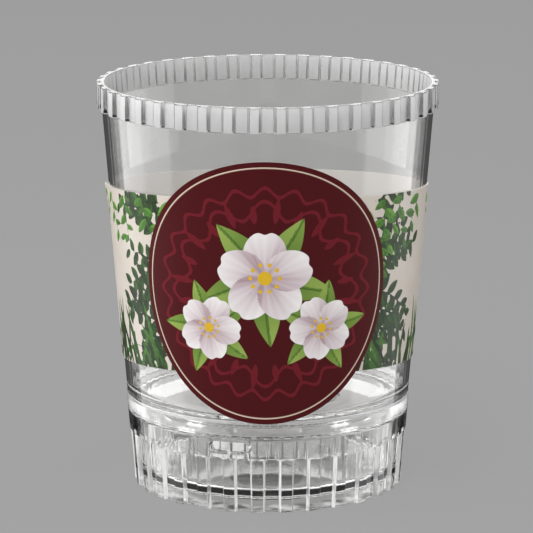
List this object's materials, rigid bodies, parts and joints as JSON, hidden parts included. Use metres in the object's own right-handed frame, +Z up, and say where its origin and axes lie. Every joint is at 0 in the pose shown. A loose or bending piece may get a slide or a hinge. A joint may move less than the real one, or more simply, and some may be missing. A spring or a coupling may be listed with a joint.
{
  "type": "orchid pot",
  "caption": "Clear tapered orchid pot with a ribbed rim on a clear ribbed water tray, with a lift-out slotted drain grid, a printed card wrap and a round front label.",
  "frame": {"origin": "middle of the foot, at the level of the surface that the tray stands on", "axes": "+Z up through the rim, -Y out of the front where the round label is, +X to the right of the label"},
  "size_m": [0.125, 0.1248, 0.15],
  "materials": {
    "clear_plastic": "clear injection-moulded polystyrene, polished",
    "printed_card": "printed card with a gloss coat",
    "label_paper": "printed paper label with a gloss coat"
  },
  "bodies": {
    "tray": {"water_tray": "clear_plastic"},
    "pot": {"pot_body": "clear_plastic", "card_wrap": "printed_card", "front_label": "label_paper"},
    "grid": {"drain_grid": "clear_plastic"}
  },
  "joints": [
    {"name": "pot_lift", "type": "slide", "parent": "tray", "child": "pot", "axis": [0, 0, 1], "range_m": [0, 0.06]},
    {"name": "grid_lift", "type": "slide", "parent": "pot", "child": "grid", "axis": [0, 0, 1], "range_m": [0, 0.16]}
  ]
}
